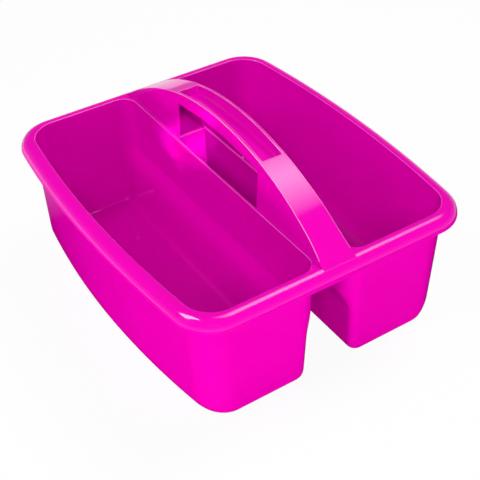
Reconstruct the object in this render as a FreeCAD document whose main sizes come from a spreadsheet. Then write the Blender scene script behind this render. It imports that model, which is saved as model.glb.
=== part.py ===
import FreeCAD, Part
import Sketcher

import math
import os
import re

# A carry caddy for art supplies: two drafted bins hang from one rolled rim, and a
# hollow arched handle stands on the spine between them.
# +X runs across the two bins, +Y along the handle, +Z up. The origin is on the floor,
# under the middle of the caddy. Sizes are in millimetres and degrees.

SIZES = {
    # whole caddy
    "length": (324.0, "outside of the rim, along the handle"),
    "width": (286.0, "outside of the rim, across the bins, at mid length"),
    "height": (171.5, "floor to the top of the handle"),
    "wall": (2.2, "moulded wall thickness"),
    # rim and spine
    "rim_height": (117.5, "floor to the top of the rim"),
    "rim_width": (13.0, "outer edge of the rim to the mouth of a bin"),
    "roll_drop": (11.5, "top of the rim to its lower lip"),
    "roll_radius": (10.6, "convex roll of the rim"),
    "rim_corner": (36.0, "plan radius of the rim's corners"),
    "mouth_corner": (26.0, "plan radius of a mouth's outer corners"),
    "side_bow": (12.5, "how far the long sides bow out at the rim"),
    "spine_half": (16.5, "middle of the spine to the mouth of a bin"),
    "spine_corner": (13.5, "plan radius of a mouth's corners beside the spine"),
    "cross_wall_drop": (42.0, "depth of the cross walls under the deck"),
    # bins
    "draft_angle": (1.5, "draft of the bin walls"),
    "base_fillet": (11.0, "rounding between base and walls, outside"),
    # handle
    "toe_inset": (10.7, "outer edge of the rim to the toe of the handle"),
    "toe_height": (1.2, "height of the handle's toe"),
    "ledge": (2.15, "strip of deck beside the handle's cheeks"),
    "cheek_draft": (2.6, "draft of the handle's cheeks"),
    "window_half": (62.0, "middle of the handle to the end of the hand window"),
    "grip_depth": (13.1, "top of the arch to the underside of the grip, at the middle"),
    "grip_bow": (5.2, "how far the underside of the grip rises over the window"),
    "recess_half": (64.0, "middle of the handle to the end of the grip's trough"),
}

# How far a cut runs past the face that it opens.
OVERCUT = 1.0

doc = FreeCAD.newDocument("carry_caddy")
sheet = doc.addObject("Spreadsheet::Sheet", "Sizes")
for row, (alias, (value, meaning)) in enumerate(SIZES.items(), start=1):
    sheet.set(f"A{row}", meaning)
    sheet.set(f"B{row}", str(value))
    sheet.setAlias(f"B{row}", alias)
doc.recompute()


def bound(formula):
    """A formula with each of the sheet's names led by the sheet."""
    return re.sub("[a-z_]+", lambda name: f"Sizes.{name[0]}" if name[0] in SIZES else name[0], formula)


def number(formula):
    """What a formula comes to at the sheet's sizes."""
    return float(sheet.evalExpression(bound(formula)))


def bow_radius(half_chord, rise):
    """The radius of an arc that rises over a chord."""
    return f"((({half_chord})^2 + ({rise})^2) / (2 * ({rise})))"


# Formulas that more than one piece uses.
END = "(length / 2)"
MOUTH_END = "(length / 2 - rim_width)"
MOUTH_SIDE = "(width / 2 - rim_width)"
RIM_BOW = bow_radius(END, "side_bow")
DECK_UNDERSIDE = "(rim_height - wall)"
DRAFT_SLOPE = "tan(draft_angle * 1 deg)"
TOE_END = "(length / 2 - toe_inset)"
TOE_TOP = "(rim_height + toe_height)"
ARCH_RADIUS = bow_radius(TOE_END, f"height - {TOE_TOP}")
CHEEK_FOOT = "(spine_half - ledge)"
CHEEK_TOP = f"({CHEEK_FOOT} - (height - rim_height) * tan(cheek_draft * 1 deg))"
GRIP_RADIUS = bow_radius("window_half", "grip_bow")
GRIP_UNDERSIDE = "(height - grip_depth)"


def new_body(label, half_turn=False):
    body = doc.addObject("PartDesign::Body", label)
    body.Label = label
    if half_turn:
        body.Placement.Rotation = FreeCAD.Rotation(FreeCAD.Vector(0, 0, 1), 180)
    return body


def new_sketch(body, name, role, offset="0"):
    """A sketch on one of the body's own planes, moved along its normal by offset."""
    sketch = body.newObject("Sketcher::SketchObject", f"{body.Label}_{name}")
    sketch.AttachmentSupport = [(plane, "") for plane in body.Origin.OriginFeatures if plane.Role == role]
    sketch.MapMode = "FlatFace"
    sketch.setExpression("AttachmentOffset.Base.z", bound(offset))
    return sketch


def dimension(sketch, kind, places, formula):
    """A driving dimension of the sketch, bound to a formula."""
    index = sketch.addConstraint(Sketcher.Constraint(kind, *places, number(formula)))
    sketch.setExpression(f"Constraints[{index}]", bound(formula))


def arc(x, y, radius, start, end):
    circle = Part.Circle(FreeCAD.Vector(x, y, 0), FreeCAD.Vector(0, 0, 1), radius)
    return Part.ArcOfCircle(circle, start, end)


def line(x1, y1, x2, y2):
    return Part.LineSegment(FreeCAD.Vector(x1, y1, 0), FreeCAD.Vector(x2, y2, 0))


def bowed_outline(sketch, end, side, bow, corner, spine=None, spine_corner=None):
    """A plan outline with straight ends and a side that bows out, all tangent.

    The other side is straight, at spine, or a mirror image where there is no spine.
    """
    y, x, big, small = number(end), number(side), number(bow), number(corner)
    bow_x = x - big
    corner_y = y - small
    corner_x = bow_x + math.sqrt((big - small) ** 2 - corner_y ** 2)
    lean = math.atan2(corner_y, corner_x - bow_x)
    quarter = math.pi / 2
    if spine:
        left, tight = number(spine), number(spine_corner)
        left_x = left + tight
        left_side = [
            arc(left_x, y - tight, tight, quarter, 2 * quarter),
            line(left, y - tight, left, tight - y),
            arc(left_x, tight - y, tight, 2 * quarter, 3 * quarter),
        ]
    else:
        left_x = -corner_x
        left_side = [
            arc(left_x, corner_y, small, quarter, math.pi - lean),
            arc(-bow_x, 0, big, math.pi - lean, math.pi + lean),
            arc(left_x, -corner_y, small, math.pi + lean, 3 * quarter),
        ]
    front, side_arc, rear, other_corner, other_side = 0, 2, 4, 5, 6
    first = sketch.GeometryCount
    sketch.addGeometry(
        [
            line(left_x, -y, corner_x, -y),
            arc(corner_x, -corner_y, small, -quarter, -lean),
            arc(bow_x, 0, big, -lean, lean),
            arc(corner_x, corner_y, small, lean, quarter),
            line(corner_x, y, left_x, y),
            *left_side,
        ]
    )
    rules = [Sketcher.Constraint("Tangent", first + i, 2, first + (i + 1) % 8, 1) for i in range(8)]
    rules += [Sketcher.Constraint("Horizontal", first + edge) for edge in (front, rear)]
    rules += [Sketcher.Constraint("Equal", first + 1, first + 3)]
    rules += [Sketcher.Constraint("Equal", first + other_corner, first + 7)]
    rules += [Sketcher.Constraint("PointOnObject", first + side_arc, 3, -1)]
    if spine:
        rules += [Sketcher.Constraint("Vertical", first + other_side)]
    else:
        rules += [Sketcher.Constraint("Equal", first + 1, first + other_corner)]
        rules += [Sketcher.Constraint("Equal", first + side_arc, first + other_side)]
        rules += [Sketcher.Constraint("PointOnObject", first + other_side, 3, -1)]
    sketch.addConstraint(rules)
    dimension(sketch, "DistanceY", (first + front, 1, -1, 1), end)
    dimension(sketch, "DistanceY", (-1, 1, first + rear, 1), end)
    dimension(sketch, "Radius", (first + 1,), corner)
    dimension(sketch, "Radius", (first + side_arc,), bow)
    dimension(sketch, "DistanceX", (first + side_arc, 3, -1, 1), f"{bow} - {side}")
    if spine:
        dimension(sketch, "Radius", (first + other_corner,), spine_corner)
        dimension(sketch, "DistanceX", (-1, 1, first + other_side, 1), spine)
    else:
        dimension(sketch, "DistanceX", (-1, 1, first + other_side, 3), f"{bow} - {side}")


def profile(sketch, corners, arcs=None):
    """A closed outline through corners; arcs gives the radius over a numbered edge.

    An arc's edge runs from right to left, with the bulge up, or, where its radius
    has a minus sign, from left to right.
    """
    arcs = arcs or {}
    points = [(number(x), number(y)) for x, y in corners]
    count = len(points)
    edges = []
    for i, start in enumerate(points):
        end = points[(i + 1) % count]
        if i in arcs:
            right, left = (end, start) if arcs[i].startswith("-") else (start, end)
            radius = abs(number(arcs[i]))
            centre_y = right[1] - math.sqrt(radius ** 2 - right[0] ** 2)
            lean = math.atan2(right[1] - centre_y, right[0])
            edges.append(arc(0, centre_y, radius, lean, math.pi - lean))
        else:
            edges.append(line(*start, *end))
    sketch.addGeometry(edges)

    def ends(i):
        return (2, 1) if i in arcs and arcs[i].startswith("-") else (1, 2)

    for i in range(count):
        following = (i + 1) % count
        sketch.addConstraint(Sketcher.Constraint("Coincident", i, ends(i)[1], following, ends(following)[0]))
    for i, (x, y) in enumerate(corners):
        dimension(sketch, "DistanceX", (-1, 1, i, ends(i)[0]), x)
        dimension(sketch, "DistanceY", (-1, 1, i, ends(i)[0]), y)
    for i, radius in arcs.items():
        dimension(sketch, "Radius", (i,), radius.lstrip("-"))


def rectangle(sketch, half_x, half_y):
    corners = [(f"-{half_x}", f"-{half_y}"), (half_x, f"-{half_y}"), (half_x, half_y), (f"-{half_x}", half_y)]
    profile(sketch, corners)


def extrude(body, kind, sketch, name, length, both_ways=False, reverse=False):
    """A pad or a pocket of a sketch, over a length bound to a formula."""
    feature = body.newObject(f"PartDesign::{kind}", f"{body.Label}_{name}")
    feature.Profile = sketch
    feature.setExpression("Length", bound(length))
    feature.SideType = "Symmetric" if both_ways else "One side"
    feature.Reversed = reverse
    doc.recompute()
    if kind == "Pocket" and feature.Shape.Volume > feature.BaseFeature.Shape.Volume - OVERCUT:
        raise RuntimeError(f"{feature.Name} cuts nothing")
    return feature


def round_edges(body, name, radius, chosen):
    """A fillet on the edges of the body that chosen picks."""
    base = body.Tip
    edges = [f"Edge{i}" for i, edge in enumerate(base.Shape.Edges, start=1) if chosen(edge)]
    if not edges:
        raise RuntimeError(f"{name} finds no edges on {body.Label}")
    feature = body.newObject("PartDesign::Fillet", f"{body.Label}_{name}")
    feature.Base = (base, edges)
    feature.setExpression("Radius", bound(radius))
    doc.recompute()
    return feature


def level(height):
    """Picks the edges or faces that lie flat at a height."""
    z = number(height)
    return lambda item: abs(item.BoundBox.ZMin - z) < 0.01 and abs(item.BoundBox.ZMax - z) < 0.01


def shell(body, name, open_at):
    """The solid's skin, a wall thick, open at its flat face at a height."""
    base = body.Tip
    is_open = level(open_at)
    faces = [f"Face{i}" for i, face in enumerate(base.Shape.Faces, start=1) if is_open(face)]
    feature = body.newObject("PartDesign::Thickness", f"{body.Label}_{name}")
    feature.Base = (base, faces)
    feature.setExpression("Value", bound("wall"))
    feature.Reversed = True
    doc.recompute()
    return feature


def build_tub(label, half_turn, inset, floor):
    """A solid tub, drafted and rounded at its base, straight beside the spine."""
    body = new_body(label, half_turn)
    top = new_sketch(body, "top", "XY_Plane", DECK_UNDERSIDE)
    bowed_outline(
        top,
        end=f"({MOUTH_END} + wall - {inset})",
        side=f"({MOUTH_SIDE} + wall - {inset})",
        bow=f"({RIM_BOW} - rim_width + wall - {inset})",
        corner=f"(mouth_corner + wall - {inset})",
        spine=f"(spine_half - wall + {inset})",
        spine_corner=f"(spine_corner + wall - {inset})",
    )
    walls = extrude(body, "Pad", top, "walls", f"{DECK_UNDERSIDE} - {floor}", reverse=True)
    walls.setExpression("TaperAngle", bound("-draft_angle"))
    doc.recompute()
    round_edges(body, "base_rounding", f"base_fillet - {inset}", level(floor))
    return body


def build_bin(label, half_turn):
    """One open bin: a tub with a smaller tub taken out of it."""
    body = build_tub(label, half_turn, inset="0", floor="0")
    core = build_tub(f"{label}_core", False, inset="wall", floor="wall")
    hollow = body.newObject("PartDesign::Boolean", f"{label}_hollow")
    hollow.Type = "Cut"
    hollow.setObjects([core])
    doc.recompute()
    return body


def build_rim_frame():
    """The rolled rim and the deck of the spine: one pressed-out plate with two mouths."""
    body = new_body("rim_frame")
    plan = new_sketch(body, "plan", "XY_Plane", "rim_height - roll_drop")
    bowed_outline(plan, END, "(width / 2)", RIM_BOW, "rim_corner")
    extrude(body, "Pad", plan, "plate", "roll_drop")
    round_edges(body, "roll", "roll_radius", level("rim_height"))
    shell(body, "skin", "rim_height - roll_drop")
    for name, turn in (("right", 0), ("left", 180)):
        mouth = new_sketch(body, f"{name}_mouth", "XY_Plane", "rim_height")
        mouth.AttachmentOffset.Rotation = FreeCAD.Rotation(FreeCAD.Vector(0, 0, 1), turn)
        bowed_outline(
            mouth,
            MOUTH_END,
            MOUTH_SIDE,
            f"({RIM_BOW} - rim_width)",
            "mouth_corner",
            "spine_half",
            "spine_corner",
        )
        extrude(body, "Pocket", mouth, f"{name}_opening", f"wall + {OVERCUT}")
    well = new_sketch(body, "well", "XY_Plane", "rim_height")
    rectangle(well, "(spine_half - wall)", "window_half")
    extrude(body, "Pocket", well, "well_opening", f"wall + {OVERCUT}")
    return body


def build_cross_wall(label, half_turn):
    """A wall across the spine that closes one end of the hand well under the deck."""
    body = new_body(label, half_turn)
    section = new_sketch(body, "section", "XZ_Plane", "window_half")
    top, foot = DECK_UNDERSIDE, f"({DECK_UNDERSIDE} - cross_wall_drop)"
    half_top = "(spine_half - wall)"
    half_foot = f"({half_top} + cross_wall_drop * {DRAFT_SLOPE})"
    corners = [(f"-{half_foot}", foot), (half_foot, foot), (half_top, top), (f"-{half_top}", top)]
    profile(section, corners)
    extrude(body, "Pad", section, "plate", "wall")
    return body


def build_handle():
    """A hollow arch on two legs, with a hand window under a trough-shaped grip."""
    body = new_body("handle")
    section = new_sketch(body, "section", "XZ_Plane")
    foot, top = "rim_height", "height"
    corners = [(f"-{CHEEK_FOOT}", foot), (CHEEK_FOOT, foot), (CHEEK_TOP, top), (f"-{CHEEK_TOP}", top)]
    profile(section, corners)
    extrude(body, "Pad", section, "beam", f"2 * {TOE_END}", both_ways=True)

    full_width = f"2 * {CHEEK_FOOT} + {OVERCUT}"
    above = f"(height + {OVERCUT})"
    arch = new_sketch(body, "arch", "YZ_Plane")
    profile(
        arch,
        [(TOE_END, TOE_TOP), (f"-{TOE_END}", TOE_TOP), (f"-{TOE_END}", above), (TOE_END, above)],
        {0: ARCH_RADIUS},
    )
    extrude(body, "Pocket", arch, "arch_cut", full_width, both_ways=True)
    shell(body, "skin", "rim_height")

    window = new_sketch(body, "window", "YZ_Plane")
    below, head = f"(rim_height - {OVERCUT})", f"({GRIP_UNDERSIDE} - grip_bow)"
    profile(
        window,
        [("window_half", head), ("-window_half", head), ("-window_half", below), ("window_half", below)],
        {0: GRIP_RADIUS},
    )
    extrude(body, "Pocket", window, "window_cut", full_width, both_ways=True)

    # The grip is filled first, between the cheeks, and its trough is cut from above.
    fill_end = "(recess_half + wall)"
    grip_centre = f"({GRIP_UNDERSIDE} - {GRIP_RADIUS})"
    arch_centre = f"(height - {ARCH_RADIUS})"
    fill_radius = f"({ARCH_RADIUS} - wall / 2)"
    fill_low = f"({grip_centre} + sqrt({GRIP_RADIUS}^2 - {fill_end}^2))"
    fill_high = f"({arch_centre} + sqrt({fill_radius}^2 - {fill_end}^2))"
    fill = new_sketch(body, "grip_fill", "YZ_Plane")
    profile(
        fill,
        [(fill_end, fill_high), (f"-{fill_end}", fill_high), (f"-{fill_end}", fill_low), (fill_end, fill_low)],
        {0: fill_radius, 2: f"-{GRIP_RADIUS}"},
    )
    extrude(body, "Pad", fill, "grip", f"2 * {CHEEK_TOP} - wall", both_ways=True)

    trough_radius = f"({GRIP_RADIUS} + wall)"
    trough_low = f"({grip_centre} + sqrt({trough_radius}^2 - recess_half^2))"
    trough = new_sketch(body, "trough", "YZ_Plane")
    profile(
        trough,
        [("recess_half", above), ("-recess_half", above), ("-recess_half", trough_low), ("recess_half", trough_low)],
        {2: f"-{trough_radius}"},
    )
    extrude(body, "Pocket", trough, "trough_cut", f"2 * ({CHEEK_TOP} - wall)", both_ways=True)
    return body


subparts = [
    build_bin("right_bin", half_turn=False),
    build_bin("left_bin", half_turn=True),
    build_rim_frame(),
    build_cross_wall("front_cross_wall", half_turn=False),
    build_cross_wall("rear_cross_wall", half_turn=True),
    build_handle(),
]
doc.recompute()

for item in doc.Objects:
    if "Invalid" in item.State or "Error" in item.State:
        raise RuntimeError(f"{item.Name} failed: {item.State}")
for subpart in subparts:
    if subpart.Shape.isNull() or not subpart.Shape.isValid() or len(subpart.Shape.Solids) != 1:
        raise RuntimeError(f"{subpart.Label} is not one valid solid")

os.makedirs("parts", exist_ok=True)
for subpart in subparts:
    subpart.Shape.exportStep(f"parts/{subpart.Label}.step")
    box = subpart.Shape.BoundBox
    print(f"{subpart.Label}: volume {subpart.Shape.Volume:.0f} mm3, z {box.ZMin:.1f} to {box.ZMax:.1f}")
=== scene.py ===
# %% [markdown]
# # A carry caddy for art supplies
# The caddy is all one glossy pink plastic: two deep bins hang from a rolled rim, and a
# hollow arched handle stands on the spine between them. The CAD model fixes the sizes and
# the places. This lesson builds the surfaces that the eye and the light meet: the soft
# roundings at the foot of the bins, the roll of the rim and the fine edges of the handle.

import math

import bmesh
import bpy
from mathutils import Matrix, Vector


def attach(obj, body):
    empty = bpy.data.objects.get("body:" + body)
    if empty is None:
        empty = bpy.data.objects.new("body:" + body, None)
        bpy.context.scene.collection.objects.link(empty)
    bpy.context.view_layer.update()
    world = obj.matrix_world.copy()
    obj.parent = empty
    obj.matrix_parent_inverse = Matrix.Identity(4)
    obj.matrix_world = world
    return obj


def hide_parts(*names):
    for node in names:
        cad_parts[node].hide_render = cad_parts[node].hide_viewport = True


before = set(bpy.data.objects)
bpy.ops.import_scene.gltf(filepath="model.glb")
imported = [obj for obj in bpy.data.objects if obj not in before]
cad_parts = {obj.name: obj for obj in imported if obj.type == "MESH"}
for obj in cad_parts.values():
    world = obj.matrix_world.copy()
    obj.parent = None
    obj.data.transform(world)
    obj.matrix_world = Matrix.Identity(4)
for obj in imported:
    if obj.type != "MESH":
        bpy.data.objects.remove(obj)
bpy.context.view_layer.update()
print("nodes:", sorted(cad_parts))

# %% [markdown]
# ## Sizes
# The sizes are the CAD model's own, in millimetres, because that is how a moulder thinks
# of them. Meshes are turned into metres where their points are made. A few sizes are finer
# than the CAD's: the foot of a bin is rounded broadly along its bowed side and tightly at
# its ends, and the free edges of the handle have a small radius.

# %% Sizes in millimetres
MM = 0.001
QUARTER = math.pi / 2

LENGTH, WIDTH, HEIGHT = 324.0, 286.0, 171.5
WALL = 2.2
RIM_HEIGHT, RIM_WIDTH = 117.5, 13.0
ROLL_RADIUS = 10.6
RIM_CORNER, MOUTH_CORNER = 36.0, 26.0
SIDE_BOW = 12.5
SPINE_HALF, SPINE_CORNER = 16.5, 13.5
WINDOW_HALF = 62.0

END = LENGTH / 2
DECK_UNDERSIDE = RIM_HEIGHT - WALL
MOUTH_END, MOUTH_SIDE = END - RIM_WIDTH, WIDTH / 2 - RIM_WIDTH


def bow_radius(half_chord, rise):
    """The radius of an arc that rises over a chord."""
    return (half_chord ** 2 + rise ** 2) / (2 * rise)


RIM_BOW = bow_radius(END, SIDE_BOW)
print("radius of the rim's bowed sides:", round(RIM_BOW), "mm")

# %% Helpers for node trees


def feed(links, value, socket):
    """Gives an input its value, which is another node's socket or a plain value."""
    if isinstance(value, bpy.types.NodeSocket):
        links.new(value, socket)
    else:
        socket.default_value = value


def math_node(nodes, links, operation, first, second):
    """The result of a math node on two sockets or numbers."""
    node = nodes.new("ShaderNodeMath")
    node.operation = operation
    feed(links, first, node.inputs[0])
    feed(links, second, node.inputs[1])
    return node.outputs[0]


def map_node(nodes, links, value, source, target):
    """A socket's value, carried from the source range to the target range."""
    node = nodes.new("ShaderNodeMapRange")
    node.inputs["From Min"].default_value, node.inputs["From Max"].default_value = source
    node.inputs["To Min"].default_value, node.inputs["To Max"].default_value = target
    links.new(value, node.inputs["Value"])
    return node.outputs["Result"]


# %% [markdown]
# ## The plastic
# Moulded polypropylene is coloured all through, so one strong pink is right for every piece.
# The skin is glossy, and its edges catch thin white lights. It is still no mirror: it has a
# faint orange peel from the mould, and where the melt flowed its colour and its gloss vary
# a little. Noise on Object coordinates makes all three, so they run on from piece to piece.
# In the photograph thin pale lines follow the fine edges, most likely the lamps mirrored in
# them. A paler pink on those faces is a painted highlight that stands in for the lines. The
# faces carry an attribute, "edge", which the material reads; a piece without it has none.
# The photograph's pink also keeps one hue in light and in shade, while light that bounces
# between strong pink walls turns redder. So the plastic shows a more even violet to the
# bounces, and its pink to the eye.

# %% Glossy pink plastic
PINK = (0.88, 0.0, 0.47, 1.0)
PINK_FLOW = (0.84, 0.0, 0.445, 1.0)
PINK_BOUNCE = (0.78, 0.0, 0.76, 1.0)
# The pale pink mixed in along the fine edges is a painted highlight.
PINK_PAINTED_HIGHLIGHT = (1.0, 0.62, 0.90, 1.0)
PLASTIC_IOR = 1.49
# The first range sets how strong the painted highlight along the fine edges is.
PAINTED_HIGHLIGHT_RANGE, GLOSS_RANGE = (0.35, 0.75), (0.04, 0.09)
PEEL_STRENGTH, PEEL_DEPTH = 0.05, 0.0002
NOISE_SPAN = (0.3, 0.7)
# The second noise makes the painted highlight uneven along the edges.
FLOW_NOISE, PAINTED_HIGHLIGHT_NOISE = (14.0, 3.0), (35.0, 3.0)
GLOSS_NOISE, PEEL_NOISE = (60.0, 4.0), (700.0, 2.0)


def pink_plastic():
    """The one material. Each noise is given as its scale and its detail."""
    material = bpy.data.materials.new("caddy_plastic")
    material.use_nodes = True
    nodes, links = material.node_tree.nodes, material.node_tree.links
    shader = nodes["Principled BSDF"]
    shader.inputs["IOR"].default_value = PLASTIC_IOR

    place = nodes.new("ShaderNodeTexCoord")

    def noise(scale, detail):
        node = nodes.new("ShaderNodeTexNoise")
        node.inputs["Scale"].default_value = scale
        node.inputs["Detail"].default_value = detail
        links.new(place.outputs["Object"], node.inputs["Vector"])
        return node.outputs["Fac"]

    def noise_between(kind, target):
        return map_node(nodes, links, noise(*kind), NOISE_SPAN, target)

    def mixed(first, second, factor):
        """A plain second colour over the first, which is a colour or a socket."""
        node = nodes.new("ShaderNodeMix")
        node.data_type = "RGBA"
        feed(links, first, node.inputs["A"])
        node.inputs["B"].default_value = second
        links.new(factor, node.inputs["Factor"])
        return node.outputs["Result"]

    # Painted highlight: faces marked in the attribute "edge" get a pale pink, made uneven by a
    # noise.
    edge = nodes.new("ShaderNodeAttribute")
    edge.attribute_name = "edge"
    light = nodes.new("ShaderNodeLightPath")
    painted_highlight_noise = noise_between(PAINTED_HIGHLIGHT_NOISE, PAINTED_HIGHLIGHT_RANGE)
    line = math_node(nodes, links, "MULTIPLY", edge.outputs["Fac"], painted_highlight_noise)
    flow = mixed(PINK, PINK_FLOW, noise_between(FLOW_NOISE, (0.0, 1.0)))
    with_painted_highlight = mixed(flow, PINK_PAINTED_HIGHLIGHT, line)
    bounced = mixed(with_painted_highlight, PINK_BOUNCE, light.outputs["Is Diffuse Ray"])
    links.new(bounced, shader.inputs["Base Color"])
    links.new(noise_between(GLOSS_NOISE, GLOSS_RANGE), shader.inputs["Roughness"])

    peel = nodes.new("ShaderNodeBump")
    peel.inputs["Strength"].default_value = PEEL_STRENGTH
    peel.inputs["Distance"].default_value = PEEL_DEPTH
    links.new(noise(*PEEL_NOISE), peel.inputs["Height"])
    links.new(peel.outputs["Normal"], shader.inputs["Normal"])
    return material


plastic = pink_plastic()
print("material:", plastic.name)

# %% [markdown]
# ## Helpers for every piece
# Each piece becomes a plain mesh at the origin, smooth except where two faces meet at a
# clear angle. Weighted normals keep the flat faces flat in the reflections. Then the piece
# is tied to the frame: it rides on the one body and stands for its CAD node.

# %% Turn a mesh into a finished piece
SHARP_ANGLE = math.radians(32)
JOIN = 0.001


def finish_piece(name, mesh, node):
    """The piece called name, with its finish, in place of a CAD node."""
    mesh.name = name
    piece = bpy.data.objects.new(name, mesh)
    bpy.context.scene.collection.objects.link(piece)
    mesh.shade_smooth()
    mesh.set_sharp_from_angle(angle=SHARP_ANGLE)
    mesh.materials.clear()
    mesh.materials.append(plastic)
    even = piece.modifiers.new("even_normals", "WEIGHTED_NORMAL")
    even.keep_sharp = True
    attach(piece, "root")
    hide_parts(node)
    print(f"{name}: {len(mesh.polygons)} faces")
    return piece


def mesh_from(build):
    """A plain mesh in metres from a bmesh that is drawn in millimetres."""
    bmesh.ops.remove_doubles(build, verts=build.verts, dist=JOIN)
    bmesh.ops.recalc_face_normals(build, faces=build.faces)
    bmesh.ops.scale(build, vec=(MM, MM, MM), verts=build.verts)
    mesh = bpy.data.meshes.new("piece")
    build.to_mesh(mesh)
    build.free()
    return mesh


def ring(build, points):
    """New vertices at the points, in their order."""
    return [build.verts.new(point) for point in points]


def bridge(build, first, second):
    """A belt of faces between two rings with the same number of points."""
    count = len(first)
    for i in range(count):
        after = (i + 1) % count
        build.faces.new((first[i], first[after], second[after], second[i]))


# %% [markdown]
# ## Plan outlines
# Seen from above, every line of the caddy is the same kind of outline: straight ends, long
# sides that bow out a little, and round corners that run smoothly into both. A bin has one
# straight side, along the spine. One function draws them all. Outlines of one kind have the
# same number of points, so that two of them can be bridged with faces.

# %% Draw a plan outline
END_STEPS, CORNER_STEPS, SIDE_STEPS = 36, 18, 64
SPINE_STEPS, SPINE_CORNER_STEPS = 64, 14


def arc_points(x, y, radius, start, stop, steps):
    """Points along an arc, without the last, with which the next stretch begins."""
    angles = [start + (stop - start) * i / steps for i in range(steps)]
    return [(x + radius * math.cos(a), y + radius * math.sin(a)) for a in angles]


def line_points(x1, y1, x2, y2, steps):
    """Points along a line, without the last."""
    shares = [i / steps for i in range(steps)]
    return [(x1 + (x2 - x1) * s, y1 + (y2 - y1) * s) for s in shares]


def plan(end, side, bow, corner, spine=None, spine_corner=None):
    """An outline, counter-clockwise from its front; without a spine it has two bowed sides."""
    bow_x = side - bow
    corner_y = end - corner
    corner_x = bow_x + math.sqrt((bow - corner) ** 2 - corner_y ** 2)
    lean = math.atan2(corner_y, corner_x - bow_x)
    right = (
        arc_points(corner_x, -corner_y, corner, -QUARTER, -lean, CORNER_STEPS)
        + arc_points(bow_x, 0, bow, -lean, lean, SIDE_STEPS)
        + arc_points(corner_x, corner_y, corner, lean, QUARTER, CORNER_STEPS)
    )
    if spine is None:
        left_x = -corner_x
        left = [(-x, -y) for x, y in right]
    else:
        left_x = spine + spine_corner
        turn_y = end - spine_corner
        steps, half_turn = SPINE_CORNER_STEPS, 2 * QUARTER
        left = (
            arc_points(left_x, turn_y, spine_corner, QUARTER, half_turn, steps)
            + line_points(spine, turn_y, spine, -turn_y, SPINE_STEPS)
            + arc_points(left_x, -turn_y, spine_corner, half_turn, 3 * QUARTER, steps)
        )
    front = line_points(left_x, -end, corner_x, -end, END_STEPS)
    rear = line_points(corner_x, end, left_x, end, END_STEPS)
    return front + right + rear + left


right_mouth = plan(
    MOUTH_END, MOUTH_SIDE, RIM_BOW - RIM_WIDTH, MOUTH_CORNER, SPINE_HALF, SPINE_CORNER
)
print("points in the outline of a mouth:", len(right_mouth))

# %% [markdown]
# ## The bins
# A bin is a drafted tub, but a plain box with one fillet would not do. The photograph shows
# a bright band half way down the wall along the spine, and the outline of the gap between
# the bins bends at the same height, so the wall is given a sloped shoulder there. The bowed
# side sweeps into the floor with a broad curve, and the ends meet the floor in a crisp line.
# So the tub is a stack of plan outlines, one for each height, and each wall moves in by its
# own rule.

# %% Stack outlines into a bin
DRAFT_SLOPE = math.tan(math.radians(1.5))
SHOULDER_SLOPE = math.tan(math.radians(22))
SHOULDER_CREASE, SHOULDER_ROUND = (67.0, 64.0), (58.0, 44.0)
FOOT_BOW = 17.5
SIDE_FOOT, SPINE_FOOT, END_FOOT = 17.0, 9.0, 5.0
FOOT_CORNER, FOOT_SPINE_CORNER = 14.0, 7.0
WALL_STEPS, SHOULDER_STEPS, FOOT_STEPS = 6, 6, 9


def rounded_in(height, radius):
    """How far a wall has moved in at a height over the floor, where its foot is rounded."""
    if height >= radius:
        return 0.0
    return radius - math.sqrt(radius ** 2 - (radius - height) ** 2)


def eased(z, start, stop):
    """How far below a bend a height lies, where the bend sets in softly from start to stop."""
    if z >= start:
        return 0.0
    if z > stop:
        return (start - z) ** 2 / (2 * (start - stop))
    return (start + stop) / 2 - z


def shoulder_in(z):
    """How far the spine wall has moved in: a tight crease above, a soft round below."""
    return SHOULDER_SLOPE * (eased(z, *SHOULDER_CREASE) - eased(z, *SHOULDER_ROUND))


def blend(start, stop, share):
    """The value at a share of the way from start to stop."""
    return start + (stop - start) * share


def tub_ring(z, skin):
    """The tub's outline at a height; skin is 0 for its outside and a wall for its inside."""
    over_floor = max(z - skin, 0.0)
    drop = (DECK_UNDERSIDE - z) / DECK_UNDERSIDE
    inset = skin + (DECK_UNDERSIDE - z) * DRAFT_SLOPE
    side_in = rounded_in(over_floor, SIDE_FOOT - skin)
    side = MOUTH_SIDE + WALL - inset - side_in
    end = MOUTH_END + WALL - inset - rounded_in(over_floor, END_FOOT - skin)
    shoulder = shoulder_in(z)
    spine = SPINE_HALF - WALL + inset + shoulder + rounded_in(over_floor, SPINE_FOOT - skin)
    top_bow = RIM_BOW - RIM_WIDTH + WALL - skin
    bow = 1 / blend(1 / top_bow, 1 / bow_radius(END, FOOT_BOW), drop)
    outward = WALL - inset
    side_share, spine_share = side_in / (SIDE_FOOT - skin), shoulder / shoulder_in(0)
    corner = blend(MOUTH_CORNER + outward, FOOT_CORNER - skin, side_share)
    spine_corner = blend(SPINE_CORNER + outward, FOOT_SPINE_CORNER - skin, spine_share)
    return plan(end, side, bow, corner, spine, spine_corner)


def tub_heights(skin):
    """Heights from the rim to the floor, close together where a wall bends."""
    radii = [radius - skin for radius in (SIDE_FOOT, SPINE_FOOT, END_FOOT)]
    bends = [DECK_UNDERSIDE, *SHOULDER_CREASE, *SHOULDER_ROUND, skin + max(radii)]
    steps = [WALL_STEPS, SHOULDER_STEPS, SHOULDER_STEPS, 2 * SHOULDER_STEPS, WALL_STEPS]
    heights = []
    for top, foot, count in zip(bends, bends[1:], steps):
        heights += [blend(top, foot, i / count) for i in range(count)]
    for radius in radii:
        angles = [QUARTER * i / FOOT_STEPS for i in range(FOOT_STEPS + 1)]
        heights += [skin + radius * (1 - math.sin(angle)) for angle in angles]
    return sorted({round(height, 2) for height in heights}, reverse=True)


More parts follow.
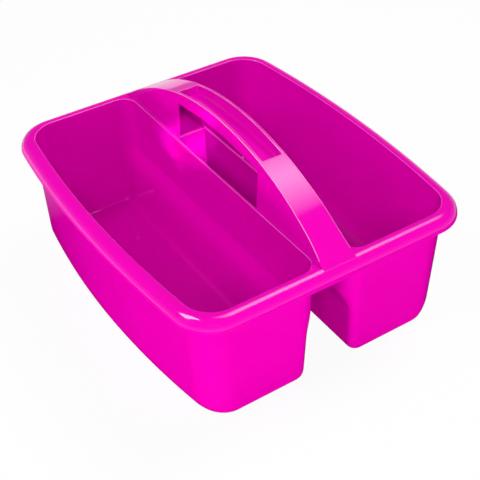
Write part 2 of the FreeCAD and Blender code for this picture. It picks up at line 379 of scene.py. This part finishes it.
def build_bin(half_turn):
    """An outer and an inner stack of outlines, each with a floor, joined at the top."""
    build = bmesh.new()
    turn = -1 if half_turn else 1
    tops = []
    for skin in (0.0, WALL):
        above = None
        for z in tub_heights(skin):
            here = ring(build, [(turn * x, turn * y, z) for x, y in tub_ring(z, skin)])
            if above:
                bridge(build, above, here)
            else:
                tops.append(here)
            above = here
        build.faces.new(above)
    bridge(build, *tops)
    return mesh_from(build)


finish_piece("left_bin_tub", build_bin(half_turn=True), "left_bin")
finish_piece("right_bin_tub", build_bin(half_turn=False), "right_bin")

# %% [markdown]
# ## The rolled rim
# The rim is a hollow roll that follows the outside of the caddy, and each opening in the
# deck has a small rounded edge that follows the opening. Both are sections swept along a
# path, so Geometry Nodes make them: one tree draws a section from its radii, and sweeps it
# along the outline that it is given. The flat deck between the sweeps is filled afterwards.

# %% A path for the sweeps


def path_curve(name, points, z):
    """A closed curve in metres, for a tree to sweep along."""
    curve = bpy.data.curves.new(name, "CURVE")
    curve.dimensions = "3D"
    spline = curve.splines.new("POLY")
    spline.points.add(len(points) - 1)
    for point, (x, y) in zip(spline.points, points):
        point.co = (x * MM, y * MM, z * MM, 1)
    spline.use_cyclic_u = True
    holder = bpy.data.objects.new(name, curve)
    bpy.context.scene.collection.objects.link(holder)
    return holder


# %% A tree that sweeps arcs along a path
WELD = 0.004 * MM


def sweep_tree(name, sizes, arcs, lines=None):
    """A tree with named sizes. Each arc is centre x, centre y, radius, start and sweep.

    Arcs and lines are functions of the size sockets, and give sockets or numbers.
    """
    tree = bpy.data.node_groups.new(name, "GeometryNodeTree")
    face = tree.interface
    face.new_socket("Path", in_out="INPUT", socket_type="NodeSocketGeometry")
    for size in sizes:
        face.new_socket(size, in_out="INPUT", socket_type="NodeSocketFloat")
    face.new_socket("Steps", in_out="INPUT", socket_type="NodeSocketInt")
    face.new_socket("Finish", in_out="INPUT", socket_type="NodeSocketMaterial")
    face.new_socket("Swept", in_out="OUTPUT", socket_type="NodeSocketGeometry")
    entry = tree.nodes.new("NodeGroupInput")
    section = tree.nodes.new("GeometryNodeJoinGeometry")

    def point(x, y):
        node = tree.nodes.new("ShaderNodeCombineXYZ")
        feed(tree.links, x, node.inputs["X"])
        feed(tree.links, y, node.inputs["Y"])
        return node.outputs["Vector"]

    def less(first, second):
        return math_node(tree.nodes, tree.links, "SUBTRACT", first, second)

    values = {size: entry.outputs[size] for size in sizes}
    for x, y, radius, start, sweep in arcs(values, less):
        arc = tree.nodes.new("GeometryNodeCurveArc")
        arc.mode = "RADIUS"
        feed(tree.links, entry.outputs["Steps"], arc.inputs["Resolution"])
        feed(tree.links, radius, arc.inputs["Radius"])
        feed(tree.links, start, arc.inputs["Start Angle"])
        feed(tree.links, sweep, arc.inputs["Sweep Angle"])
        move = tree.nodes.new("GeometryNodeTransform")
        tree.links.new(arc.outputs["Curve"], move.inputs["Geometry"])
        feed(tree.links, point(x, y), move.inputs["Translation"])
        tree.links.new(move.outputs["Geometry"], section.inputs["Geometry"])
    for x1, y1, x2, y2 in lines(values, less) if lines else []:
        line = tree.nodes.new("GeometryNodeCurvePrimitiveLine")
        feed(tree.links, point(x1, y1), line.inputs["Start"])
        feed(tree.links, point(x2, y2), line.inputs["End"])
        tree.links.new(line.outputs["Curve"], section.inputs["Geometry"])

    # Curve to Mesh turns a section's y axis down, so the section is mirrored first.
    upright = tree.nodes.new("GeometryNodeTransform")
    upright.inputs["Scale"].default_value = (1.0, -1.0, 1.0)
    tree.links.new(section.outputs["Geometry"], upright.inputs["Geometry"])
    level = tree.nodes.new("GeometryNodeSetCurveNormal")
    level.mode = "Z_UP"
    tree.links.new(entry.outputs["Path"], level.inputs["Curve"])
    sweep = tree.nodes.new("GeometryNodeCurveToMesh")
    tree.links.new(level.outputs["Curve"], sweep.inputs["Curve"])
    tree.links.new(upright.outputs["Geometry"], sweep.inputs["Profile Curve"])
    weld = tree.nodes.new("GeometryNodeMergeByDistance")
    weld.inputs["Distance"].default_value = WELD
    real = tree.nodes.new("GeometryNodeRealizeInstances")
    finish = tree.nodes.new("GeometryNodeSetMaterial")
    leave = tree.nodes.new("NodeGroupOutput")
    tree.links.new(sweep.outputs["Mesh"], weld.inputs["Geometry"])
    tree.links.new(weld.outputs["Geometry"], real.inputs["Geometry"])
    tree.links.new(real.outputs["Geometry"], finish.inputs["Geometry"])
    tree.links.new(entry.outputs["Finish"], finish.inputs["Material"])
    tree.links.new(finish.outputs["Geometry"], leave.inputs["Swept"])
    return tree


def swept(tree, path, **sizes):
    """The plain mesh that a tree sweeps along a path, which is then removed."""
    modifier = path.modifiers.new("sweep", "NODES")
    modifier.node_group = tree
    inputs = {s.name: s.identifier for s in tree.interface.items_tree if s.in_out == "INPUT"}
    for size, value in sizes.items():
        modifier[inputs[size.replace("_", " ").title()]] = value
    modifier[inputs["Finish"]] = plastic
    bpy.context.view_layer.update()
    evaluated = path.evaluated_get(bpy.context.evaluated_depsgraph_get())
    mesh = bpy.data.meshes.new_from_object(evaluated)
    path.modifiers.clear()
    bpy.data.objects.remove(path)
    return mesh


# %% [markdown]
# The roll's section has three arcs: a quarter round over the outside, a half round at the
# lip, and the quarter round inside, a wall smaller. In the section, x points away from the
# caddy and y up, measured from the outer edge of the rim at the height of its top.

# %% Sweep the roll and the edges of the openings
EDGE_RADIUS = 1.05
ROLL_STEPS, EDGE_STEPS = 15, 7
WELL_CORNER = 2.0
WELL_CORNER_STEPS, WELL_SIDE_STEPS, WELL_END_STEPS = 6, 40, 10


def roll_arcs(size, less):
    """The outside, the lip and the inside of the roll."""
    roll, wall, half_wall = size["Roll Radius"], size["Wall"], size["Half Wall"]
    centre = less(0.0, roll)
    yield centre, centre, roll, 0.0, QUARTER
    yield less(0.0, half_wall), centre, half_wall, 2 * QUARTER, 2 * QUARTER
    yield centre, centre, less(roll, wall), 0.0, QUARTER


def edge_arcs(size, less):
    """The rounded upper edge of an opening."""
    radius = size["Edge Radius"]
    yield radius, less(0.0, radius), radius, QUARTER, QUARTER


def edge_lines(size, less):
    """The upright wall under that edge, as deep as the deck is thick."""
    yield 0.0, less(0.0, size["Edge Radius"]), 0.0, less(0.0, size["Deck"])


roll_tree = sweep_tree("rolled_rim", ["Roll Radius", "Wall", "Half Wall"], roll_arcs)
edge_tree = sweep_tree("opening_edge", ["Edge Radius", "Deck"], edge_arcs, edge_lines)


def well_plan():
    """The hand well's opening in the deck: a rectangle with tight corners."""
    half, end, corner = SPINE_HALF - WALL, WINDOW_HALF, WELL_CORNER
    quarters = [
        (half - corner, corner - end, -QUARTER),
        (half - corner, end - corner, 0.0),
        (corner - half, end - corner, QUARTER),
        (corner - half, corner - end, 2 * QUARTER),
    ]
    outline = []
    for i, (x, y, start) in enumerate(quarters):
        stop = start + QUARTER
        outline += arc_points(x, y, corner, start, stop, WELL_CORNER_STEPS)
        next_x, next_y, next_start = quarters[(i + 1) % len(quarters)]
        last = (x + corner * math.cos(stop), y + corner * math.sin(stop))
        first = (next_x + corner * math.cos(next_start), next_y + corner * math.sin(next_start))
        outline += line_points(*last, *first, WELL_END_STEPS if i % 2 else WELL_SIDE_STEPS)
    return outline


rim_plan = plan(END, WIDTH / 2, RIM_BOW, RIM_CORNER)
left_mouth = [(-x, -y) for x, y in right_mouth]
roll = swept(
    roll_tree,
    path_curve("rim_path", rim_plan, RIM_HEIGHT),
    roll_radius=ROLL_RADIUS * MM,
    wall=WALL * MM,
    half_wall=WALL * MM / 2,
    steps=ROLL_STEPS,
)
edges = [
    swept(
        edge_tree,
        path_curve("opening_path", outline, RIM_HEIGHT),
        edge_radius=EDGE_RADIUS * MM,
        deck=WALL * MM,
        steps=EDGE_STEPS,
    )
    for outline in (right_mouth, left_mouth, well_plan())
]
for mesh in [roll, *edges]:
    zs = [v.co.z / MM for v in mesh.vertices]
    xs = [v.co.x / MM for v in mesh.vertices]
    print("sweep:", len(mesh.vertices), "points, z", round(min(zs), 2), round(max(zs), 2),
          "x", round(min(xs), 2), round(max(xs), 2))

# %% Fill the deck between the sweeps
LEVEL = 0.02 * MM
UPRIGHT, LEVEL_FACE = 0.4, 0.9
# How strong the painted highlight is on the rounded edges of the openings.
MOUTH_PAINTED_HIGHLIGHT = 0.35


def build_rim():
    """The sweeps in one mesh, with the deck and its underside filled in between them."""
    build = bmesh.new()
    build.from_mesh(roll)
    plain = len(build.faces)
    for mesh in edges:
        build.from_mesh(mesh)
    # The sloped faces of the rounded opening edges get the painted highlight, marked in the
    # attribute "edge".
    painted_highlight_layer = build.faces.layers.float.new("edge")
    build.faces.ensure_lookup_table()
    for face in build.faces[plain:]:
        face.normal_update()
        face[painted_highlight_layer] = MOUTH_PAINTED_HIGHLIGHT if UPRIGHT < abs(face.normal.z) < LEVEL_FACE else 0.0
    bmesh.ops.remove_doubles(build, verts=build.verts, dist=WELD)
    for height in (RIM_HEIGHT * MM, DECK_UNDERSIDE * MM):
        rims = [
            edge
            for edge in build.edges
            if edge.is_boundary and all(abs(v.co.z - height) < LEVEL for v in edge.verts)
        ]
        bmesh.ops.triangle_fill(build, use_beauty=True, edges=rims)
    bmesh.ops.recalc_face_normals(build, faces=build.faces)
    print("open edges left on the rim:", sum(edge.is_boundary for edge in build.edges))
    mesh = bpy.data.meshes.new("rim")
    build.to_mesh(mesh)
    build.free()
    return mesh


finish_piece("rolled_rim", build_rim(), "rim_frame")

# %% [markdown]
# ## The cross walls
# Under the deck, a thin wall closes each end of the hand well. It is a plate whose sides
# follow the draft of the bins. Its lower edge is rounded, as every free edge of a moulding.

# %% Make the cross walls
CROSS_WALL_DROP = 42.0
PLATE_STEPS = 12


def build_cross_wall(side):
    """A plate across the spine, at the front (-1) or the rear (1) of the well."""
    build = bmesh.new()
    half_wall = WALL / 2
    middle = side * (WINDOW_HALF + half_wall)
    foot = DECK_UNDERSIDE - CROSS_WALL_DROP
    round_foot = arc_points(0, foot + half_wall, half_wall, 0, -2 * QUARTER, PLATE_STEPS)
    section = [
        (half_wall, DECK_UNDERSIDE),
        *round_foot,
        (-half_wall, foot + half_wall),
        (-half_wall, DECK_UNDERSIDE),
    ]
    rows = []
    for share in [2 * i / PLATE_STEPS - 1 for i in range(PLATE_STEPS + 1)]:
        row = []
        for y, z in section:
            half = SPINE_HALF - WALL + (DECK_UNDERSIDE - z) * DRAFT_SLOPE
            row.append((share * half, middle + y, z))
        rows.append(ring(build, row))
    for first, second in zip(rows, rows[1:]):
        bridge(build, first, second)
    build.faces.new(rows[0])
    build.faces.new(rows[-1])
    return mesh_from(build)


finish_piece("front_well_wall", build_cross_wall(-1), "front_cross_wall")
finish_piece("rear_well_wall", build_cross_wall(1), "rear_cross_wall")

# %% [markdown]
# ## The handle
# The handle is a hollow arch. Its section changes along the way: a channel over the hand
# window, an upside-down U in the legs, and a toe that runs smoothly onto the roll of the
# rim. It is drawn as rows of section points, zone by zone, with a cap where one zone
# ends. A bevel then gives its free outer edges the fine radius that catches the light.

# %% Curves of the handle
TOE_END, TOE_HEIGHT = END - 10.7, 1.2
CHEEK_FOOT = SPINE_HALF - 2.15
CHEEK_SLOPE = math.tan(math.radians(2.6))
CHEEK_TOP = CHEEK_FOOT - (HEIGHT - RIM_HEIGHT) * CHEEK_SLOPE
ARCH_RADIUS = bow_radius(TOE_END, HEIGHT - RIM_HEIGHT - TOE_HEIGHT)
GRIP_DEPTH, GRIP_BOW = 13.1, 5.2
GRIP_RADIUS = bow_radius(WINDOW_HALF, GRIP_BOW)
TROUGH_END, TROUGH_HALF, TROUGH_FOOT = 64.0, CHEEK_TOP - WALL, 3.0
TOE_BLEND, TOE_FLARE, TOE_SUNK = 3.0, 1.2, 0.3
FLARE_START, FLARE_RUN = 128.0, 24.0
DECK_SUNK = 1.2


def arc_height(y, top, radius):
    """Height of an arc along the handle, whose top is over the middle."""
    return top - radius + math.sqrt(radius ** 2 - y ** 2)


def rim_surface(y):
    """Height of the deck or, near the outer edge, of the roll."""
    past = abs(y) - (END - ROLL_RADIUS)
    if past <= 0:
        return RIM_HEIGHT
    return RIM_HEIGHT - ROLL_RADIUS + math.sqrt(ROLL_RADIUS ** 2 - past ** 2)


def arch(y):
    """Height of the handle's top, which runs smoothly onto the rim at the toe."""
    high, low = arc_height(y, HEIGHT, ARCH_RADIUS), rim_surface(y)
    near = max(TOE_BLEND - abs(high - low), 0) / TOE_BLEND
    return max(high, low) + near ** 2 * TOE_BLEND / 4


def grip_underside(y):
    return arc_height(y, HEIGHT - GRIP_DEPTH, GRIP_RADIUS)


def leg_ceiling(y):
    return arc_height(y, HEIGHT - WALL, ARCH_RADIUS - WALL)


def cheek(y, z):
    """Half the handle's width at a height, a little flared towards the toe."""
    share = min(max((abs(y) - FLARE_START) / FLARE_RUN, 0), 1)
    return CHEEK_FOOT - (z - RIM_HEIGHT) * CHEEK_SLOPE + TOE_FLARE * share ** 2


print("radius of the arch:", round(ARCH_RADIUS, 1), "mm")

# %% Sections of the handle
FOOT_ARC_STEPS = 5
FILL_END = TROUGH_END + WALL
LEG_END = 146.0
TOE_TIP = 157.5


def mirrored(right):
    """A section's right half from its first point to its last, then the left half back."""
    return right + [(-x, z) for x, z in reversed(right)]


def trough_side(y):
    """From the inner edge of the cheek down the trough's wall to its floor."""
    floor = arc_height(y, HEIGHT - GRIP_DEPTH + WALL, GRIP_RADIUS + WALL)
    x, z = TROUGH_HALF - TROUGH_FOOT, floor + TROUGH_FOOT
    angles = [-QUARTER * i / FOOT_ARC_STEPS for i in range(FOOT_ARC_STEPS + 1)]
    foot = [(x + TROUGH_FOOT * math.cos(a), z + TROUGH_FOOT * math.sin(a)) for a in angles]
    return [(TROUGH_HALF, arch(y)), *foot]


def outer_edge(y):
    """The corner between the cheek and the top of the handle."""
    return (cheek(y, arch(y)), arch(y))


def at_height(y, z, inside=False):
    """A point on the outer or the inner face of the cheek."""
    return (cheek(y, z) - (WALL if inside else 0), z)


def deck(y):
    """Where the handle's foot ends, a little under the surface of the rim."""
    return rim_surface(y) - DECK_SUNK


def mid_height(y):
    """A line along the leg's cheek that starts at the end of the grip's underside."""
    low, high = deck(FILL_END), arch(FILL_END)
    share = (grip_underside(FILL_END) - low) / (high - low)
    return blend(deck(y), arch(y), share)


def grip_section(y):
    under = grip_underside(y)
    right = [at_height(y, under, inside=True), at_height(y, under), outer_edge(y), *trough_side(y)]
    return mirrored(right)


def shoulder_section(y):
    under, low = grip_underside(y), deck(y)
    right = [
        at_height(y, under, inside=True),
        at_height(y, low, inside=True),
        at_height(y, low),
        at_height(y, under),
        outer_edge(y),
        *trough_side(y),
    ]
    return mirrored(right)


def bridge_section(y):
    under, low = grip_underside(y), deck(y)
    right = [
        at_height(y, under, inside=True),
        at_height(y, low, inside=True),
        at_height(y, low),
        at_height(y, under),
        outer_edge(y),
        (TROUGH_HALF, arch(y)),
    ]
    return mirrored(right)


def leg_section(y):
    low, middle = deck(y), mid_height(y)
    right = [
        at_height(y, leg_ceiling(y), inside=True),
        at_height(y, middle, inside=True),
        at_height(y, low, inside=True),
        at_height(y, low),
        at_height(y, middle),
        outer_edge(y),
        (TROUGH_HALF, arch(y)),
    ]
    return mirrored(right)


def toe_section(y):
    low, middle = deck(y), mid_height(y)
    sink = TOE_SUNK * max((abs(y) - TOE_END) / (TOE_TIP - TOE_END), 0)
    top = arch(y) - sink
    right = [
        at_height(y, low, inside=True),
        at_height(y, low),
        at_height(y, middle),
        (cheek(y, top), top),
        (TROUGH_HALF, top),
    ]
    return mirrored(right)


def trough_cap(y):
    return mirrored(trough_side(y))


def window_cap(y):
    under, low = grip_underside(y), deck(y)
    return [
        at_height(y, low),
        at_height(y, under),
        at_height(y, under, inside=True),
        at_height(y, low, inside=True),
    ]


def fill_cap(y):
    heights = (leg_ceiling(y), grip_underside(y))
    return mirrored([at_height(y, z, inside=True) for z in heights])


def leg_cap(y):
    heights = (leg_ceiling(y), mid_height(y), deck(y))
    return mirrored([at_height(y, z, inside=True) for z in heights])


# %% Join the sections into a handle
GRIP_ROWS, LEG_ROWS, TOE_ROWS = 50, 34, 12
# The second value is how strong the painted highlight is on the handle's rounded edges.
HANDLE_EDGE, HANDLE_PAINTED_HIGHLIGHT = 0.42, 1.0
EDGE_SEGMENTS, ROUND_PROFILE = 3, 0.5
FREE_END, NEAR = 148.0, 0.1


def rows_between(first, last, count):
    return [blend(first, last, i / count) for i in range(count + 1)]


def is_outer(x, y, z):
    """Is a corner on the outside of the handle, clear of the deck and of the toe?"""
    on_top = z > arch(y) - NEAR
    outside = abs(x) > cheek(y, z) - NEAR
    window_end = abs(abs(y) - WINDOW_HALF) < NEAR
    clear = (z > RIM_HEIGHT + HANDLE_EDGE or window_end) and abs(y) < FREE_END
    return (on_top or outside) and clear


def build_handle():
    """All zones and caps in one closed mesh, with its free outer edges rounded."""
    build = bmesh.new()

    def zone(section, stations):
        rows = [ring(build, [(x, y, z) for x, z in section(y)]) for y in stations]
        for first, second in zip(rows, rows[1:]):
            bridge(build, first, second)

    def cap(points, y):
        build.faces.new(ring(build, [(x, y, z) for x, z in points]))

    zone(grip_section, rows_between(-WINDOW_HALF, WINDOW_HALF, GRIP_ROWS))
    for end in (-1, 1):
        zone(shoulder_section, [end * WINDOW_HALF, end * TROUGH_END])
        zone(bridge_section, [end * TROUGH_END, end * FILL_END])
        zone(leg_section, rows_between(end * FILL_END, end * LEG_END, LEG_ROWS))
        zone(toe_section, rows_between(end * LEG_END, end * TOE_TIP, TOE_ROWS))
        right_window = window_cap(end * WINDOW_HALF)
        cap(right_window, end * WINDOW_HALF)
        cap([(-x, z) for x, z in right_window], end * WINDOW_HALF)
        cap(trough_cap(end * TROUGH_END), end * TROUGH_END)
        cap(fill_cap(end * FILL_END), end * FILL_END)
        cap(leg_cap(end * LEG_END), end * LEG_END)
        cap(toe_section(end * TOE_TIP), end * TOE_TIP)
    bmesh.ops.remove_doubles(build, verts=build.verts, dist=JOIN)
    bmesh.ops.recalc_face_normals(build, faces=build.faces)
    print("open edges left on the handle:", sum(len(e.link_faces) != 2 for e in build.edges))
    painted_highlight_layer = build.faces.layers.float.new("edge")
    sharp = [
        edge
        for edge in build.edges
        if edge.calc_face_angle(0) > SHARP_ANGLE and all(is_outer(*v.co) for v in edge.verts)
    ]
    softened = bmesh.ops.bevel(
        build,
        geom=sharp,
        offset=HANDLE_EDGE,
        offset_type="OFFSET",
        segments=EDGE_SEGMENTS,
        profile=ROUND_PROFILE,
        affect="EDGES",
        clamp_overlap=True,
    )
    # Rounded faces that don't face sideways get the painted highlight.
    for face in softened["faces"]:
        face.normal_update()
        face[painted_highlight_layer] = HANDLE_PAINTED_HIGHLIGHT if abs(face.normal.z) > UPRIGHT else 0.0
    widths = [min(edge.calc_length() for edge in face.edges) for face in softened["faces"]]
    print("softened faces:", len(widths), "widest:", round(max(widths), 2), "mm")
    return mesh_from(build)


finish_piece("arched_handle", build_handle(), "handle")

# %% [markdown]
# ## Stage, light and camera
# The photograph is a studio shot on white. The floor is white to the camera and still takes
# a soft shadow. In the gloss it is white behind the caddy and falls into shade in front,
# because white there would wash out the walls. The sky is white to the camera as well. In
# the gloss it is a dim tent, dimmest overhead, so that the lamps stand out in it.

# %% Floor and sky
WHITE = (1.0, 1.0, 1.0, 1.0)
FLOOR_HALF = 3.0
FLOOR_COLOUR, FLOOR_ROUGHNESS = (0.9, 0.9, 0.9, 1.0), 0.6
FLOOR_GLOW = 0.94
SHADE_CENTRE = (-0.14, -0.42, 0.0)
SHADE_NEAR, SHADE_FAR = 0.58, 0.95
SKY_FILL = 0.08
TENT_SIDES, TENT_TOP = 0.3, 0.06
TENT_BEND = (0.12, 0.45)


def white_floor():
    """White to the camera but for the shadow; in the gloss, shade in front of the caddy."""
    material = bpy.data.materials.new("white_floor")
    material.use_nodes = True
    nodes, links = material.node_tree.nodes, material.node_tree.links
    shader = nodes["Principled BSDF"]
    shader.inputs["Base Color"].default_value = FLOOR_COLOUR
    shader.inputs["Roughness"].default_value = FLOOR_ROUGHNESS
    place = nodes.new("ShaderNodeTexCoord")
    reach = nodes.new("ShaderNodeVectorMath")
    reach.operation = "DISTANCE"
    reach.inputs[1].default_value = SHADE_CENTRE
    links.new(place.outputs["Object"], reach.inputs[0])
    light = nodes.new("ShaderNodeLightPath").outputs
    far = map_node(nodes, links, reach.outputs["Value"], (SHADE_NEAR, SHADE_FAR), (0.0, 1.0))
    clear = light["Is Transmission Ray"]
    seen = math_node(nodes, links, "MAXIMUM", light["Is Camera Ray"], clear)
    share = math_node(nodes, links, "MULTIPLY", seen, FLOOR_GLOW)
    lit = math_node(nodes, links, "MAXIMUM", share, light["Is Glossy Ray"])
    glow = nodes.new("ShaderNodeEmission")
    links.new(math_node(nodes, links, "MAXIMUM", seen, far), glow.inputs["Strength"])
    mix = nodes.new("ShaderNodeMixShader")
    links.new(lit, mix.inputs[0])
    links.new(shader.outputs[0], mix.inputs[1])
    links.new(glow.outputs[0], mix.inputs[2])
    links.new(mix.outputs[0], nodes["Material Output"].inputs["Surface"])
    return material


def studio_sky():
    """White to the camera, a dim tent in the gloss, and a little fill."""
    world = bpy.data.worlds.new("studio")
    world.use_nodes = True
    nodes, links = world.node_tree.nodes, world.node_tree.links
    place = nodes.new("ShaderNodeTexCoord")
    split = nodes.new("ShaderNodeSeparateXYZ")
    links.new(place.outputs["Generated"], split.inputs[0])
    tent = map_node(nodes, links, split.outputs["Z"], TENT_BEND, (TENT_SIDES, TENT_TOP))
    light = nodes.new("ShaderNodeLightPath").outputs
    gloss = math_node(nodes, links, "MULTIPLY", light["Is Glossy Ray"], tent)
    clear = light["Is Transmission Ray"]
    white = math_node(nodes, links, "MAXIMUM", light["Is Camera Ray"], clear)
    seen = math_node(nodes, links, "MAXIMUM", white, gloss)
    fill = math_node(nodes, links, "MULTIPLY", light["Is Diffuse Ray"], SKY_FILL)
    strength = math_node(nodes, links, "MAXIMUM", seen, fill)
    links.new(strength, nodes["Background"].inputs["Strength"])
    nodes["Background"].inputs["Color"].default_value = WHITE
    return world


floor_mesh = bpy.data.meshes.new("floor")
corners = [(-FLOOR_HALF, -FLOOR_HALF, 0), (FLOOR_HALF, -FLOOR_HALF, 0)]
corners += [(FLOOR_HALF, FLOOR_HALF, 0), (-FLOOR_HALF, FLOOR_HALF, 0)]
floor_mesh.from_pydata(corners, [], [(0, 1, 2, 3)])
floor_mesh.materials.append(white_floor())
floor = bpy.data.objects.new("floor", floor_mesh)
bpy.context.scene.collection.objects.link(floor)
bpy.context.scene.world = studio_sky()

# %% [markdown]
# The lamps share the work. Fills light the caddy from above, from all four sides and along
# the camera's own line. Two low strips stand in for light that a white floor sends up: they
# reach the outer walls, and the rim keeps them off most of the handle. A narrow spot shines
# through the hand window on its rear end. A soft box in a photograph also shows in the gloss,
# and one lamp can't be bright enough there and soft enough on the walls. So the fills show
# no highlight, and a key panel, high on the left, gives only the white patch on the front
# corner of the rim. A wide box with a grid gives the soft glow on the front leg.

# %% Soft lights
LAMP_AIM = (0.0, 0.0, 0.09)
WELL_AIM = (0.004, 0.062, 0.118)


def soft_light(
    name, direction, distance, size, watts, fills=True, shows=False, spread=180, aim=LAMP_AIM
):
    """A soft box that looks at the caddy. It may fill, show in the gloss, or do both."""
    lamp = bpy.data.lights.new(name, "AREA")
    lamp.shape = "RECTANGLE"
    lamp.size, lamp.size_y = size
    lamp.energy = watts
    lamp.spread = math.radians(spread)
    holder = bpy.data.objects.new(name, lamp)
    holder.visible_camera = False
    holder.visible_diffuse = fills
    holder.visible_glossy = shows
    toward = Vector(direction).normalized()
    holder.location = Vector(aim) + toward * distance
    holder.rotation_euler = (-toward).to_track_quat("-Z", "Y").to_euler()
    bpy.context.scene.collection.objects.link(holder)
    print(f"{name}: {watts} W, {size[0]} by {size[1]} m")


soft_light("key", (-0.47, 0.18, 0.86), 1.6, (0.4, 0.3), 3)
soft_light("left", (-0.76, 0.0, 0.65), 1.8, (0.8, 0.6), 8.5)
soft_light("right", (0.60, 0.0, 0.80), 1.8, (0.6, 0.6), 12)
soft_light("front_fill", (-0.50, -0.86, 0.07), 1.8, (1.2, 0.4), 6)
soft_light("well_fill", (-0.36, -0.70, 0.62), 1.8, (0.5, 0.5), 9)
soft_light(
    "well_spot", (-0.40, -0.70, 0.59), 1.6, (0.03, 0.03), 0.015, spread=2.5, aim=WELL_AIM
)
soft_light("left_bounce", (-0.98, 0.10, -0.10), 0.6, (0.6, 0.05), 0.85)
soft_light("front_bounce", (-0.10, -0.98, -0.10), 0.6, (0.7, 0.05), 0.75)
soft_light("rear_fill", (0.55, 0.83, 0.07), 1.8, (1.2, 0.4), 9)
soft_light("key_panel", (-0.44, 0.20, 0.87), 1.6, (0.50, 0.75), 15, fills=False, shows=True)
soft_light("leg_glow", (0.43, 0.12, 0.88), 1.5, (1.1, 1.1), 0.9, shows=True, spread=36)

# %% [markdown]
# The camera was fitted to the rim's outline in the photograph. It stands to the front left
# and looks down on the caddy. The small shift gives the photograph's own framing.

# %% Camera
AZIMUTH, ELEVATION, ROLL = math.radians(-32.533), math.radians(36.967), math.radians(-1.153)
DISTANCE, AIM = 0.93626, Vector((0, 0, 0.0894))
SENSOR_WIDTH, FOCAL_LENGTH = 36.0, 80.13
SHIFT_X, SHIFT_Y = 0.0216, -0.1006

back = Vector((
    math.sin(AZIMUTH) * math.cos(ELEVATION),
    -math.cos(AZIMUTH) * math.cos(ELEVATION),
    math.sin(ELEVATION),
))
level_right = (-back).cross(Vector((0, 0, 1))).normalized()
level_up = level_right.cross(-back)
right = level_right * math.cos(ROLL) + level_up * math.sin(ROLL)
up = level_up * math.cos(ROLL) - level_right * math.sin(ROLL)

lens = bpy.data.cameras.new("camera")
lens.sensor_width = SENSOR_WIDTH
lens.lens = FOCAL_LENGTH
lens.shift_x = SHIFT_X
lens.shift_y = SHIFT_Y
camera = bpy.data.objects.new("camera", lens)
turned = Matrix((right, up, back)).transposed().to_4x4()
camera.matrix_world = Matrix.Translation(AIM + back * DISTANCE) @ turned
bpy.context.scene.collection.objects.link(camera)
bpy.context.scene.camera = camera
bpy.context.scene.view_settings.view_transform = "Standard"
